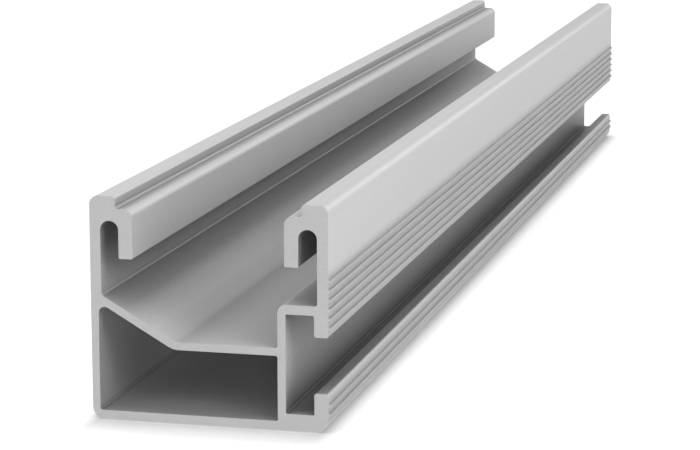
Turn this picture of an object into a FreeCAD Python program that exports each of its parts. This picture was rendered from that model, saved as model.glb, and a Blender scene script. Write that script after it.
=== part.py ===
import FreeCAD, Part
import Sketcher
import math
import os
from collections import namedtuple
from types import SimpleNamespace

# Driving sizes of the rail, in millimetres and degrees.
# The section is drawn with its outer left face at x = 0 and its base at z = 0.
SIZES = {
    # The whole piece
    "rail_length": 305.0,
    "rail_width": 38.6,
    "rail_height": 36.0,
    "base_radius": 2.0,
    "top_radius": 1.4,
    # The two hooks that flank the top channel
    "hook_wall": 1.75,
    "hook_gap": 3.0,
    "hook_roof": 1.9,
    "lip_wall": 2.25,
    "lip_drop": 7.9,
    "lip_tip_radius": 0.2,
    "lip_shoulder_radius": 1.25,
    "rim_width": 4.2,
    "rim_height": 2.0,
    "rim_edge_radius": 0.5,
    "rim_root_radius": 0.45,
    # The channel below the hooks: a shelf on the right, a sloping web on the left
    "shelf_height": 20.15,
    "shelf_wall": 1.5,
    "shelf_edge_radius": 1.4,
    "floor_height": 13.2,
    "web_wall": 1.25,
    "web_slope": 30.0,
    "web_root_radius": 0.6,
    "web_bend_radius": 2.5,
    "channel_root_radius": 0.4,
    # The closed chamber under the channel
    "side_wall": 1.25,
    "base_wall": 1.5,
    "middle_wall": 1.3,
    "chamber_crest_radius": 1.0,
    "chamber_radius": 0.35,
    # The side slot that takes the head of a bolt
    "flange_wall": 2.25,
    "bolt_head_depth": 4.6,
    "slot_floor_height": 2.75,
    "mouth_height": 6.25,
    "mouth_width": 8.95,
    "slot_radius": 0.2,
    "mouth_edge_radius": 0.35,
    # The fine ribs along the right face
    "rib_width": 0.6,
    "rib_depth": 0.37,
    "rib_flank_slope": 70.0,
    "rib_tip_radius": 0.08,
    "rib_pitch": 1.5,
    "upper_rib_height": 16.6,
    "upper_rib_count": 6,
    "lower_rib_height": 2.9,
    "lower_rib_count": 2,
}


class Size:
    """A number together with the sheet expression that drives it."""

    def __init__(self, value, text):
        self.value = value
        self.text = text

    def __add__(self, other):
        return Size(self.value + other.value, f"({self.text} + {other.text})")

    def __sub__(self, other):
        return Size(self.value - other.value, f"({self.text} - {other.text})")

    def __truediv__(self, other):
        return Size(self.value / other.value, f"({self.text} / {other.text})")


def number(value):
    return Size(value, str(value))


def cosine(angle):
    return Size(math.cos(math.radians(angle.value)), f"cos({angle.text})")


S = SimpleNamespace(**{name: Size(value, f"Sizes.{name}") for name, value in SIZES.items()})

# A side of an outline is an endless line; where it starts and ends follows from its neighbours.
Side = namedtuple("Side", "kind x z angle")
Joint = namedtuple("Joint", "leave arrive centre radius left_turn")


def upright(x):
    """Vertical side at x."""
    return Side("upright", x, None, None)


def level(z):
    """Horizontal side at height z."""
    return Side("level", None, z, None)


def slope(x, z, angle):
    """Side through the point x, z, travelled in the direction of the angle."""
    return Side("slope", x, z, angle)


def round_end(z):
    """Half circle over the top from one upright to the next on its right, with its centre at height z."""
    return Side("round_end", None, z, None)


def line_of(side):
    """A point on the side and its direction."""
    if side.kind == "upright":
        return FreeCAD.Vector(side.x.value, 0, 0), FreeCAD.Vector(0, 1, 0)
    if side.kind == "level":
        return FreeCAD.Vector(0, side.z.value, 0), FreeCAD.Vector(1, 0, 0)
    angle = math.radians(side.angle.value)
    return FreeCAD.Vector(side.x.value, side.z.value, 0), FreeCAD.Vector(math.cos(angle), math.sin(angle), 0)


def sharp_corner(side, following):
    """Where two neighbouring sides meet, before the corner is rounded."""
    if side.kind == "round_end":
        return FreeCAD.Vector(following.x.value, side.z.value, 0)
    if following.kind == "round_end":
        return FreeCAD.Vector(side.x.value, following.z.value, 0)
    start, along = line_of(side)
    other_start, other_along = line_of(following)
    offset = other_start - start
    cross = along.x * other_along.y - along.y * other_along.x
    travel = (offset.x * other_along.y - offset.y * other_along.x) / cross
    return start + along * travel


def joint_at(corner, before, after, radius):
    """The arc that rounds a corner, or the bare corner where the radius is None."""
    if radius is None:
        return Joint(corner, corner, None, None, True)
    arriving = (corner - before).normalize()
    leaving = (after - corner).normalize()
    cross = arriving.x * leaving.y - arriving.y * leaving.x
    turn = math.atan2(abs(cross), arriving.dot(leaving))
    setback = radius.value * math.tan(turn / 2)
    tangent_in = corner - arriving * setback
    tangent_out = corner + leaving * setback
    toward = 1 if cross > 0 else -1
    centre = tangent_in + FreeCAD.Vector(-arriving.y, arriving.x, 0) * (toward * radius.value)
    return Joint(tangent_in, tangent_out, centre, radius, cross > 0)


def arc_between(centre, radius, start, end):
    """Counter-clockwise arc from start to end."""
    first = math.atan2(start.y - centre.y, start.x - centre.x)
    last = math.atan2(end.y - centre.y, end.x - centre.x)
    circle = Part.Circle(centre, FreeCAD.Vector(0, 0, 1), radius)
    return Part.ArcOfCircle(circle, first, last)


class OutlineSketch:
    """Draws closed outlines in one sketch and binds every size to the sheet."""

    # How a sketch numbers its origin and the points of a line or an arc
    ORIGIN = -1
    WHOLE, START, END, CENTRE = range(4)

    def __init__(self, sketch):
        self.sketch = sketch
        self.geometry_count = 0

    def add(self, geometry, construction=False):
        self.sketch.addGeometry(geometry, construction)
        self.geometry_count += 1
        return self.geometry_count - 1

    def fix(self, *items):
        return self.sketch.addConstraint(Sketcher.Constraint(*items))

    def drive(self, kind, items, size, unit=""):
        value = math.radians(size.value) if unit else size.value
        index = self.fix(kind, *items, value)
        self.sketch.setExpression(f"Constraints[{index}]", size.text + unit)

    def place(self, kind, geometry, point, size):
        """Hold one coordinate of a point: on the axis when the size is zero, else at a distance."""
        if size.value == 0:
            axis = -2 if kind == "DistanceX" else -1
            self.fix("PointOnObject", geometry, point, axis)
        else:
            self.drive(kind, (self.ORIGIN, self.START, geometry, point), size)

    def hold_side(self, side, line):
        """Fix where an endless side lies, leaving its ends free to follow the neighbours."""
        if side.kind == "upright":
            self.fix("Vertical", line)
            self.place("DistanceX", line, self.START, side.x)
        elif side.kind == "level":
            self.fix("Horizontal", line)
            self.place("DistanceY", line, self.START, side.z)
        else:
            anchor = self.add(Part.Point(FreeCAD.Vector(side.x.value, side.z.value, 0)), True)
            self.place("DistanceX", anchor, self.START, side.x)
            self.place("DistanceY", anchor, self.START, side.z)
            self.drive("Angle", (line,), side.angle, " * 1 deg")
            self.fix("PointOnObject", anchor, self.START, line)

    def draw(self, steps):
        """Draw a closed outline from pairs of a side and the radius of the corner that ends it."""
        sides = [side for side, radius in steps]
        total = len(sides)
        corners = [sharp_corner(sides[i], sides[(i + 1) % total]) for i in range(total)]
        joints = []
        for i, (side, radius) in enumerate(steps):
            joints.append(joint_at(corners[i], corners[i - 1], corners[(i + 1) % total], radius))
        drawn = []
        for i, side in enumerate(sides):
            start = joints[i - 1].arrive
            end = joints[i].leave
            if side.kind == "round_end":
                centre = (start + end) * 0.5
                drawn.append(self.add(arc_between(centre, (end - start).Length / 2, end, start)))
                self.place("DistanceY", drawn[i], self.CENTRE, side.z)
            else:
                drawn.append(self.add(Part.LineSegment(start, end)))
                self.hold_side(side, drawn[i])
        for i, joint in enumerate(joints):
            following = (i + 1) % total
            if sides[i].kind == "round_end":
                self.fix("Tangent", drawn[i], self.START, drawn[following], self.START)
            elif sides[following].kind == "round_end":
                self.fix("Tangent", drawn[i], self.END, drawn[following], self.END)
            else:
                self.join(drawn[i], drawn[following], joint)

    def join(self, element, following, joint):
        """Join the end of one line to the start of the next, with an arc where the corner is rounded."""
        if joint.radius is None:
            self.fix("Coincident", element, self.END, following, self.START)
        else:
            ends = (joint.leave, joint.arrive) if joint.left_turn else (joint.arrive, joint.leave)
            arc = self.add(arc_between(joint.centre, joint.radius.value, *ends))
            first, last = (self.START, self.END) if joint.left_turn else (self.END, self.START)
            self.fix("Tangent", element, self.END, arc, first)
            self.fix("Tangent", arc, last, following, self.START)
            self.drive("Radius", (arc,), joint.radius)


def section_outline():
    """The section's outer boundary, counter-clockwise from the base."""
    right_face = S.rail_width
    hook_left = S.hook_wall
    hook_right = S.rail_width - S.hook_wall
    lip_left = hook_left + S.hook_gap
    lip_right = hook_right - S.hook_gap
    rim_root = S.rail_height - S.rim_height
    lip_tip = rim_root - S.lip_drop
    hook_centre = rim_root - S.hook_roof - S.hook_gap / number(2)
    flange_back = right_face - S.flange_wall
    slot_back = flange_back - S.bolt_head_depth
    return [
        (level(number(0)), S.base_radius),
        # Lower flange and side slot
        (upright(right_face), S.mouth_edge_radius),
        (level(S.mouth_height), S.mouth_edge_radius),
        (upright(flange_back), S.slot_radius),
        (level(S.slot_floor_height), S.slot_radius),
        (upright(slot_back), S.slot_radius),
        (level(S.shelf_height - S.shelf_wall), S.mouth_edge_radius),
        (upright(flange_back), S.mouth_edge_radius),
        (level(S.mouth_height + S.mouth_width), S.mouth_edge_radius),
        # Right side, rim and hook
        (upright(right_face), S.top_radius),
        (level(S.rail_height), S.rim_edge_radius),
        (upright(right_face - S.rim_width), S.rim_root_radius),
        (level(rim_root), S.lip_shoulder_radius),
        (upright(lip_right - S.lip_wall), S.lip_tip_radius),
        (level(lip_tip), S.lip_tip_radius),
        (upright(lip_right), None),
        (round_end(hook_centre), None),
        (upright(hook_right), S.channel_root_radius),
        # Shelf, channel floor and sloping web
        (level(S.shelf_height), S.shelf_edge_radius),
        (upright(slot_back - S.middle_wall), S.channel_root_radius),
        (level(S.floor_height), S.web_bend_radius),
        (slope(hook_left, S.shelf_height, number(180) - S.web_slope), S.web_root_radius),
        # Left hook, rim and side
        (upright(hook_left), None),
        (round_end(hook_centre), None),
        (upright(lip_left), S.lip_tip_radius),
        (level(lip_tip), S.lip_tip_radius),
        (upright(lip_left + S.lip_wall), S.lip_shoulder_radius),
        (level(rim_root), S.rim_root_radius),
        (upright(S.rim_width), S.rim_edge_radius),
        (level(S.rail_height), S.top_radius),
        (upright(number(0)), S.base_radius),
    ]


def chamber_outline():
    """The closed chamber, whose roof runs parallel to the web and the channel floor above it."""
    slot_back = S.rail_width - S.flange_wall - S.bolt_head_depth
    web_drop = S.web_wall / cosine(S.web_slope)
    return [
        (level(S.base_wall), S.chamber_radius),
        (upright(slot_back - S.middle_wall), S.chamber_radius),
        (level(S.floor_height - S.web_wall), S.web_bend_radius + S.web_wall),
        (slope(S.hook_wall, S.shelf_height - web_drop, number(180) - S.web_slope), S.chamber_crest_radius),
        (upright(S.side_wall), S.chamber_radius),
    ]


def rib_outline(height):
    """One tapered rib on the right face, centred at the given height."""
    face = S.rail_width
    half_width = S.rib_width / number(2)
    flank = number(90) - S.rib_flank_slope
    return [
        (slope(face, height - half_width, flank), S.rib_tip_radius),
        (upright(face + S.rib_depth), S.rib_tip_radius),
        (slope(face, height + half_width, number(180) - flank), None),
        (upright(face), None),
    ]


def make_sheet(doc):
    sheet = doc.addObject("Spreadsheet::Sheet", "Sizes")
    for row, (name, value) in enumerate(SIZES.items(), start=1):
        sheet.set(f"A{row}", name)
        sheet.set(f"B{row}", str(value))
        sheet.setAlias(f"B{row}", name)
    doc.recompute()
    return sheet


def origin_feature(body, role):
    for feature in body.Origin.OriginFeatures:
        if feature.Role == role:
            return feature
    raise RuntimeError(f"no origin feature {role}")


def section_sketch(body, name, *outlines):
    """A sketch across the rail, seen along its length."""
    sketch = body.newObject("Sketcher::SketchObject", name)
    sketch.AttachmentSupport = [(origin_feature(body, "XZ_Plane"), "")]
    sketch.MapMode = "FlatFace"
    drawing = OutlineSketch(sketch)
    for outline in outlines:
        drawing.draw(outline)
    return sketch


def extrude(body, name, sketch):
    """Push a section along the rail's full length, half to each side of the middle."""
    pad = body.newObject("PartDesign::Pad", name)
    pad.Profile = sketch
    pad.Midplane = True
    pad.setExpression("Length", "Sizes.rail_length")
    return pad


def rib_row(doc, body, name, height, count_alias):
    """Ribs at an even pitch, counted upwards from the lowest one."""
    rib = extrude(body, f"{name}Rib", section_sketch(body, f"{name}RibSketch", rib_outline(height)))
    doc.recompute()
    row = body.newObject("PartDesign::LinearPattern", f"{name}Ribs")
    row.Originals = [rib]
    row.Direction = (origin_feature(body, "Z_Axis"), [""])
    row.setExpression("Occurrences", f"Sizes.{count_alias}")
    row.setExpression("Length", f"(Sizes.{count_alias} - 1) * Sizes.rib_pitch")
    body.Tip = row
    doc.recompute()


def check(doc, body):
    for item in doc.Objects:
        if "Invalid" in item.State or "Error" in item.State:
            raise RuntimeError(f"{item.Name} failed: {item.State}")
    if body.Shape.isNull() or not body.Shape.isValid():
        raise RuntimeError("the rail's shape is not valid")
    if len(body.Shape.Solids) != 1:
        raise RuntimeError("the rail is not one solid")


def build_rail(doc):
    body = doc.addObject("PartDesign::Body", "Rail")
    body.Label = "mounting_rail"
    profile = section_sketch(body, "SectionSketch", section_outline(), chamber_outline())
    extrude(body, "Extrusion", profile)
    doc.recompute()
    rib_row(doc, body, "Upper", S.upper_rib_height, "upper_rib_count")
    rib_row(doc, body, "Lower", S.lower_rib_height, "lower_rib_count")
    # The row's origin is at the middle of the base
    body.setExpression("Placement.Base.x", "-Sizes.rail_width / 2")
    doc.recompute()
    return body


doc = FreeCAD.newDocument("MountingRail")
make_sheet(doc)
rail = build_rail(doc)
check(doc, rail)
os.makedirs("parts", exist_ok=True)
rail.Shape.exportStep(f"parts/{rail.Label}.step")
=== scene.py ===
import bpy
import math
from mathutils import Matrix, Vector


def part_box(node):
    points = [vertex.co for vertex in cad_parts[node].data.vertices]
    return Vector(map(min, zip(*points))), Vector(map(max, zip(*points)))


RAIL = "mounting_rail"

# The photograph's frame and the lens that its vanishing points give
PHOTO_WIDTH = 700
FOCAL_PIXELS = 2557.4
SENSOR_MM = 36.0
CLIP_START = 0.01
# Where the camera stands, in metres from the rail's left face, its near end and the floor
CAMERA_RIGHT_OF_LEFT_FACE = 0.134058
CAMERA_BEFORE_NEAR_END = 0.372167
CAMERA_HEIGHT = 0.107177
PITCH_DOWN = math.radians(10.922)
YAW_LEFT = math.radians(13.883)
ROLL = math.radians(-0.045)

# Distant lamps: turn about the rail from the near end towards the ribbed side,
# height above the floor and width of the source in degrees, and strength
SUNS = {
    "fill": (14.0, 11.0, 8.0, 1.03),
    "right": (90.0, 8.0, 35.0, 0.57),
    "back_left": (225.0, 35.0, 40.0, 0.45),
    "low_left": (270.0, 8.0, 35.0, 0.6),
}
# Square light panels near the rail: place in metres and power in watts
PANEL_SIZE = 0.3
PANELS = {
    "key": ((0.48, -0.38, 0.3), 1.05),
    "key_near": ((0.25, -0.5, 0.3), 0.45),
    "left_near": ((-0.28, -0.42, 0.32), 0.4),
    "left": ((-0.5, -0.2, 0.35), 0.5),
    "overhead": ((0.0, -0.15, 0.8), 1.87),
    "back_right": ((0.29, 0.68, 0.26), 0.85),
}

FLOOR_SIZE = 8.0
FLOOR_COLOUR = 0.85
FLOOR_ROUGHNESS = 0.9
# How strongly the floor glows under the rail's middle and, to make up for the light
# that the lamps near the rail don't bring there, from so many metres away on
GLOW_NEAR = 0.5
GLOW_FAR = 0.9
GLOW_FAR_AWAY = 0.7
# The soft contact shadow is painted: it is where the glow fades out, drawn from the
# rail's outline. It starts under the rounded base corners and reaches further in front
# of the open near end. Its core is the share of the reach that doesn't glow at all.
SHADOW_INSET = 0.0014
SHADOW_BESIDE = 0.0036
SHADOW_IN_FRONT = 0.014
SHADOW_CORE = 0.08

# Satin aluminium, a little bluish. Its fine surface scatters light like a matt grey
# solid with a weak, broad sheen, so it isn't shaded as a mirror-like metal.
METAL_TONE = 0.6
BLUE_SHARE = 1.006
METALLIC = 0.0
GLOSS = 0.2
CUT_END_TONE = 0.82
# A surface whose normal runs along the rail by more than this is a cut end
CUT_END_FACING = 0.7

# Painted shade and light: the tone follows how open a spot is within a reach in metres,
# from 0 in a deep pocket to 1 on an outer face, by these pairs of openness and tone. The
# channels and the fine concave corners get painted shade, and so do the ribbed bands,
# whose grooves are painted lighter than openness alone would make them.
OPENNESS_SAMPLES = 4
RECESS_SHADE_REACH = 0.02
RECESS_SHADE_TONES = ((0.5, 0.37), (1.0, 1.0))
# Painted shade in the fine concave corners
CORNER_SHADE_REACH = 0.0008
CORNER_SHADE_TONES = ((0.5, 0.5), (0.78, 0.72), (1.0, 1.0))
# Painted shade on the ribbed bands, with painted light in their grooves
RIB_LIGHT_AND_SHADE_REACH = 0.0015
RIB_LIGHT_AND_SHADE_TONES = ((0.5, 2.1), (0.8, 0.68), (1.0, 0.74))

# Patterns in the finish: how many features fit in a metre on each axis, and by how
# much each pattern moves the tone
DRAWN_LINES = (2600.0, 5.0, 2600.0)
SAW_MARKS = (18.0, 400.0, 3200.0)
STREAK_DETAIL = 3.0
STREAK_SPREAD = 0.04
GRAIN = (2400.0, 2400.0, 2400.0)
GRAIN_SPREAD = 0.06
CLOUDS = (60.0, 12.0, 60.0)
CLOUD_SPREAD = 0.03
# What the streaks and the grain do to the roughness and to the fine relief
SMOOTHEST = 0.36
ROUGHEST = 0.46
GRAIN_ROUGHNESS = 0.03
RELIEF_DEPTH = 0.00004
RELIEF_STRENGTH = 0.4
GRAIN_RELIEF = 0.6

# The closed chamber in the section, in metres: its sides, its floor, its flat
# roof, and where the roof starts to climb towards the left side
CHAMBER_SIDES = (-0.0185, 0.0116)
CHAMBER_FLOOR = 0.001
CHAMBER_ROOF = 0.0125
CHAMBER_BEND = -0.006
CHAMBER_SLOPE = math.radians(30.0)
# The painted tones of its walls: painted shade at either mouth, giving way to painted light
# from this depth on
CHAMBER_MOUTH_TONE = 0.58
CHAMBER_DEEP_TONE = 1.0
CHAMBER_DEEP = 0.045

# The ribbed side face, in metres: how far out it lies, where its two ribbed bands
# start and end, and how far their painted shade fades out above them
RIB_FACE = 0.0192
LOWER_RIBS_TOP = 0.0049
UPPER_RIBS_FOOT = 0.0152
UPPER_RIBS_TOP = 0.0244
RIB_FADE = 0.0016


def grey(tone):
    return (tone, tone, tone, 1.0)


def add_camera(low):
    """The photograph's viewpoint: before the near end, above and to the right."""
    camera = bpy.data.objects.new("camera", bpy.data.cameras.new("camera"))
    bpy.context.scene.collection.objects.link(camera)
    camera.data.sensor_width = SENSOR_MM
    camera.data.lens = FOCAL_PIXELS * SENSOR_MM / PHOTO_WIDTH
    camera.data.clip_start = CLIP_START
    place = Vector((
        low.x + CAMERA_RIGHT_OF_LEFT_FACE,
        low.y - CAMERA_BEFORE_NEAR_END,
        CAMERA_HEIGHT,
    ))
    turn = (
        Matrix.Rotation(YAW_LEFT, 4, "Z")
        @ Matrix.Rotation(math.pi / 2 - PITCH_DOWN, 4, "X")
        @ Matrix.Rotation(ROLL, 4, "Z")
    )
    camera.matrix_world = Matrix.Translation(place) @ turn
    bpy.context.scene.camera = camera


def add_lamp(name, kind, place, aim, strength):
    data = bpy.data.lights.new(name, kind)
    data.energy = strength
    lamp = bpy.data.objects.new(name, data)
    bpy.context.scene.collection.objects.link(lamp)
    lamp.location = place
    lamp.rotation_euler = (place - aim).to_track_quat("Z", "Y").to_euler()
    return data


def add_lights(middle):
    for name, (turn, height, width, strength) in SUNS.items():
        turn = math.radians(turn)
        height = math.radians(height)
        toward = Vector((
            math.sin(turn) * math.cos(height),
            -math.cos(turn) * math.cos(height),
            math.sin(height),
        ))
        sun = add_lamp(name, "SUN", middle + toward, middle, strength)
        sun.angle = math.radians(width)
    for name, (place, power) in PANELS.items():
        panel = add_lamp(name, "AREA", Vector(place), middle, power)
        panel.size = PANEL_SIZE


class Board:
    """Adds shader nodes and wires them with one call each."""

    def __init__(self, tree):
        self.tree = tree

    def add(self, kind, **settings):
        node = self.tree.nodes.new(kind)
        for name, value in settings.items():
            setattr(node, name, value)
        return node

    def feed(self, socket, value):
        """Wire an output into a socket, or set the socket to a plain value."""
        if isinstance(value, bpy.types.NodeSocket):
            self.tree.links.new(value, socket)
        else:
            socket.default_value = value

    def math(self, operation, first, second=0.0):
        node = self.add("ShaderNodeMath", operation=operation)
        self.feed(node.inputs[0], first)
        self.feed(node.inputs[1], second)
        return node.outputs[0]

    def product(self, first, *others):
        for other in others:
            first = self.math("MULTIPLY", first, other)
        return first

    def split(self, vector):
        """The X, Y and Z outputs of a vector."""
        node = self.add("ShaderNodeSeparateXYZ")
        self.feed(node.inputs["Vector"], vector)
        return node.outputs

    def blend(self, factor, low, high, start=0.0):
        """A value that runs from low to high as the factor goes from its start to 1."""
        node = self.add("ShaderNodeMapRange")
        self.feed(node.inputs["Value"], factor)
        node.inputs["From Min"].default_value = start
        self.feed(node.inputs["To Min"], low)
        self.feed(node.inputs["To Max"], high)
        return node.outputs["Result"]

    def around_one(self, pattern, spread):
        """A factor that the pattern moves up and down from 1 by the spread."""
        return self.blend(pattern, 1.0 - spread, 1.0 + spread)

    def openness(self, reach):
        """How open the surface is within the reach: 0 in a deep pocket, 1 on an outer face."""
        node = self.add("ShaderNodeAmbientOcclusion", samples=OPENNESS_SAMPLES, only_local=True)
        node.inputs["Distance"].default_value = reach
        return node.outputs["AO"]

    def ramp(self, factor, tones):
        """The tone read from (position, tone) pairs at the factor."""
        node = self.add("ShaderNodeValToRGB")
        self.feed(node.inputs["Fac"], factor)
        elements = node.color_ramp.elements
        while len(elements) < len(tones):
            elements.new(1.0)
        for element, (position, tone) in zip(elements, tones):
            element.position = position
            element.color = grey(tone)
        return node.outputs["Color"]

    def noise(self, place, stretch, detail=2.0):
        """Noise from 0 to 1 whose features are 1 / stretch metres long on each axis."""
        mapping = self.add("ShaderNodeMapping")
        self.feed(mapping.inputs["Vector"], place)
        mapping.inputs["Scale"].default_value = stretch
        node = self.add("ShaderNodeTexNoise")
        self.feed(node.inputs["Vector"], mapping.outputs["Vector"])
        node.inputs["Scale"].default_value = 1.0
        node.inputs["Detail"].default_value = detail
        return node.outputs["Fac"]


def new_material(name):
    """A new material, the board for its nodes, and its shader."""
    material = bpy.data.materials.new(name)
    material.use_nodes = True
    tree = material.node_tree
    return material, Board(tree), tree.nodes["Principled BSDF"]


def seen_directly(board):
    """1 for what the camera sees straight, in a reflection or through glass, else 0."""
    path = board.add("ShaderNodeLightPath").outputs
    seen = board.math("MAXIMUM", path["Is Camera Ray"], path["Is Glossy Ray"])
    return board.math("MAXIMUM", seen, path["Is Transmission Ray"])


def add_world():
    """A white surrounding that is seen but gives no light."""
    world = bpy.data.worlds.new("studio")
    bpy.context.scene.world = world
    world.use_nodes = True
    board = Board(world.node_tree)
    background = world.node_tree.nodes["Background"]
    background.inputs["Color"].default_value = grey(1.0)
    board.feed(background.inputs["Strength"], seen_directly(board))


def past(board, along, edge, reach):
    """How far a place lies past the edge, as a share of the reach."""
    beyond = board.math("MAXIMUM", board.math("SUBTRACT", along, edge), 0.0)
    return board.math("DIVIDE", beyond, reach)


def floor_glow_and_painted_shadow(board, place, half_width, half_length):
    """The glow of the white floor, which fades out in a painted shadow drawn around the rail's
    outline.
    """
    spot = board.split(place)
    aside = past(
        board, board.math("ABSOLUTE", spot["X"]), half_width - SHADOW_INSET, SHADOW_BESIDE
    )
    in_front = past(board, board.product(spot["Y"], -1.0), half_length, SHADOW_IN_FRONT)
    behind = past(board, spot["Y"], half_length, SHADOW_BESIDE)
    ahead = board.math("ADD", in_front, behind)
    gap = board.math("SQRT", board.math(
        "ADD", board.math("POWER", aside, 2.0), board.math("POWER", ahead, 2.0)
    ))
    away = board.add("ShaderNodeVectorMath", operation="LENGTH")
    board.feed(away.inputs[0], place)
    distance = board.math("DIVIDE", away.outputs["Value"], GLOW_FAR_AWAY)
    return board.product(
        board.blend(distance, GLOW_NEAR, GLOW_FAR),
        board.blend(gap, 0.0, 1.0, SHADOW_CORE),
    )


def floor_material(half_width, half_length):
    """Floor that looks white to the camera except close to the rail, where its glow gives way
    to a painted shadow and the lamps' own shadow shows.
    """
    material, board, shader = new_material("white_floor")
    shader.inputs["Base Color"].default_value = grey(FLOOR_COLOUR)
    shader.inputs["Roughness"].default_value = FLOOR_ROUGHNESS
    shader.inputs["Specular IOR Level"].default_value = 0.0
    shader.inputs["Emission Color"].default_value = grey(1.0)
    place = board.add("ShaderNodeTexCoord").outputs["Object"]
    # The glow fades out into a painted shadow close to the rail
    glow = floor_glow_and_painted_shadow(board, place, half_width, half_length)
    board.feed(shader.inputs["Emission Strength"], board.product(glow, seen_directly(board)))
    return material


def add_floor(low, high):
    bpy.ops.mesh.primitive_plane_add(size=FLOOR_SIZE, location=(0.0, 0.0, 0.0))
    floor = bpy.context.object
    floor.name = "floor"
    floor.data.materials.append(floor_material((high.x - low.x) / 2, (high.y - low.y) / 2))


def inside_chamber(board, spot):
    """1 on the walls of the closed chamber, else 0."""
    climb = board.math("MAXIMUM", board.math("SUBTRACT", CHAMBER_BEND, spot["X"]), 0.0)
    rise = board.product(climb, math.tan(CHAMBER_SLOPE))
    return board.product(
        board.math("GREATER_THAN", spot["X"], CHAMBER_SIDES[0]),
        board.math("LESS_THAN", spot["X"], CHAMBER_SIDES[1]),
        board.math("GREATER_THAN", spot["Z"], CHAMBER_FLOOR),
        board.math("LESS_THAN", spot["Z"], board.math("ADD", rise, CHAMBER_ROOF)),
    )


def chamber_painted_light_and_shade(board, spot, half_length):
    """Painted tone of the chamber's walls: painted shade at the mouths and painted light deeper
    in, where less light reaches them.
    """
    depth = board.math("SUBTRACT", half_length, board.math("ABSOLUTE", spot["Y"]))
    share = board.math("DIVIDE", depth, CHAMBER_DEEP)
    return board.blend(share, CHAMBER_MOUTH_TONE, CHAMBER_DEEP_TONE)


def below(board, height, top):
    """1 up to the top of a ribbed band, fading to 0 above it."""
    above = board.math("DIVIDE", board.math("SUBTRACT", height, top), RIB_FADE)
    return board.blend(above, 1.0, 0.0)


def among_ribs(board, spot):
    """1 on the ribbed bands of the outer side face, where their painted light and shade go,
    fading to 0 above each of them.
    """
    lower = below(board, spot["Z"], LOWER_RIBS_TOP)
    upper = board.product(
        below(board, spot["Z"], UPPER_RIBS_TOP),
        board.math("GREATER_THAN", spot["Z"], UPPER_RIBS_FOOT),
    )
    outside = board.math("GREATER_THAN", spot["X"], RIB_FACE)
    return board.product(board.math("MAXIMUM", lower, upper), outside)


def aluminium_material(half_length):
    """Satin extruded aluminium: lines drawn along the rail, grain, and sawn cut ends."""
    material, board, shader = new_material("extruded_aluminium")
    space = board.add("ShaderNodeTexCoord")
    place = space.outputs["Object"]
    spot = board.split(place)
    facing = board.math("ABSOLUTE", board.split(space.outputs["Normal"])["Y"])
    cut_end = board.math("GREATER_THAN", facing, CUT_END_FACING)
    not_cut = board.blend(cut_end, 1.0, 0.0)

    streaks = board.blend(
        cut_end,
        board.noise(place, DRAWN_LINES, STREAK_DETAIL),
        board.noise(place, SAW_MARKS, STREAK_DETAIL),
    )
    grain = board.noise(place, GRAIN)
    clouds = board.noise(place, CLOUDS)

    # Painted shade in the channels and pockets, painted shade in the fine concave corners, and
    # painted light and shade on the ribbed bands, all read off how open each spot is
    recess_shade = board.ramp(board.openness(RECESS_SHADE_REACH), RECESS_SHADE_TONES)
    corner_shade = board.ramp(board.openness(CORNER_SHADE_REACH), CORNER_SHADE_TONES)
    rib_light_and_shade = board.ramp(board.openness(RIB_LIGHT_AND_SHADE_REACH), RIB_LIGHT_AND_SHADE_TONES)
    in_chamber = board.product(inside_chamber(board, spot), not_cut)
    # On the ribbed bands the painted rib light and shade takes the place of the corner shade
    ribbed = board.product(among_ribs(board, spot), not_cut)
    # Inside the chamber its painted shade and light takes the place of the recess shade
    tone = board.product(
        board.blend(in_chamber, recess_shade, chamber_painted_light_and_shade(board, spot, half_length)),
        METAL_TONE,
        board.blend(ribbed, corner_shade, rib_light_and_shade),
        board.blend(cut_end, 1.0, CUT_END_TONE),
        board.around_one(streaks, STREAK_SPREAD),
        board.around_one(grain, GRAIN_SPREAD),
        board.around_one(clouds, CLOUD_SPREAD),
    )
    colour = board.add("ShaderNodeCombineColor")
    board.feed(colour.inputs["Red"], tone)
    board.feed(colour.inputs["Green"], tone)
    board.feed(colour.inputs["Blue"], board.product(tone, BLUE_SHARE))
    board.feed(shader.inputs["Base Color"], colour.outputs["Color"])
    shader.inputs["Metallic"].default_value = METALLIC
    # The painted recess and corner shade also dims the sheen
    board.feed(shader.inputs["Specular IOR Level"], board.product(recess_shade, corner_shade, GLOSS))
    rough = board.math(
        "ADD",
        board.blend(streaks, SMOOTHEST, ROUGHEST),
        board.blend(grain, -GRAIN_ROUGHNESS, GRAIN_ROUGHNESS),
    )
    board.feed(shader.inputs["Roughness"], rough)

    bump = board.add("ShaderNodeBump")
    bump.inputs["Strength"].default_value = RELIEF_STRENGTH
    bump.inputs["Distance"].default_value = RELIEF_DEPTH
    relief = board.math("ADD", streaks, board.product(grain, GRAIN_RELIEF))
    board.feed(bump.inputs["Height"], relief)
    board.feed(shader.inputs["Normal"], bump.outputs["Normal"])
    return material


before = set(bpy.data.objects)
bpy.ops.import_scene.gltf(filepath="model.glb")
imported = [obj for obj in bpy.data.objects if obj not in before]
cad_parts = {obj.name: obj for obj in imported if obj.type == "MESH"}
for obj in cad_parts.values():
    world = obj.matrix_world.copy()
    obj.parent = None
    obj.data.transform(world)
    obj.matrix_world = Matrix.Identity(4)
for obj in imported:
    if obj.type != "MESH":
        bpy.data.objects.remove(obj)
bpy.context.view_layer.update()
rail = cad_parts[RAIL]
low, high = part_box(RAIL)
bpy.context.scene.view_settings.view_transform = "Standard"
add_camera(low)
add_world()
add_lights((low + high) / 2)
add_floor(low, high)
rail.data.materials.clear()
rail.data.materials.append(aluminium_material((high.y - low.y) / 2))
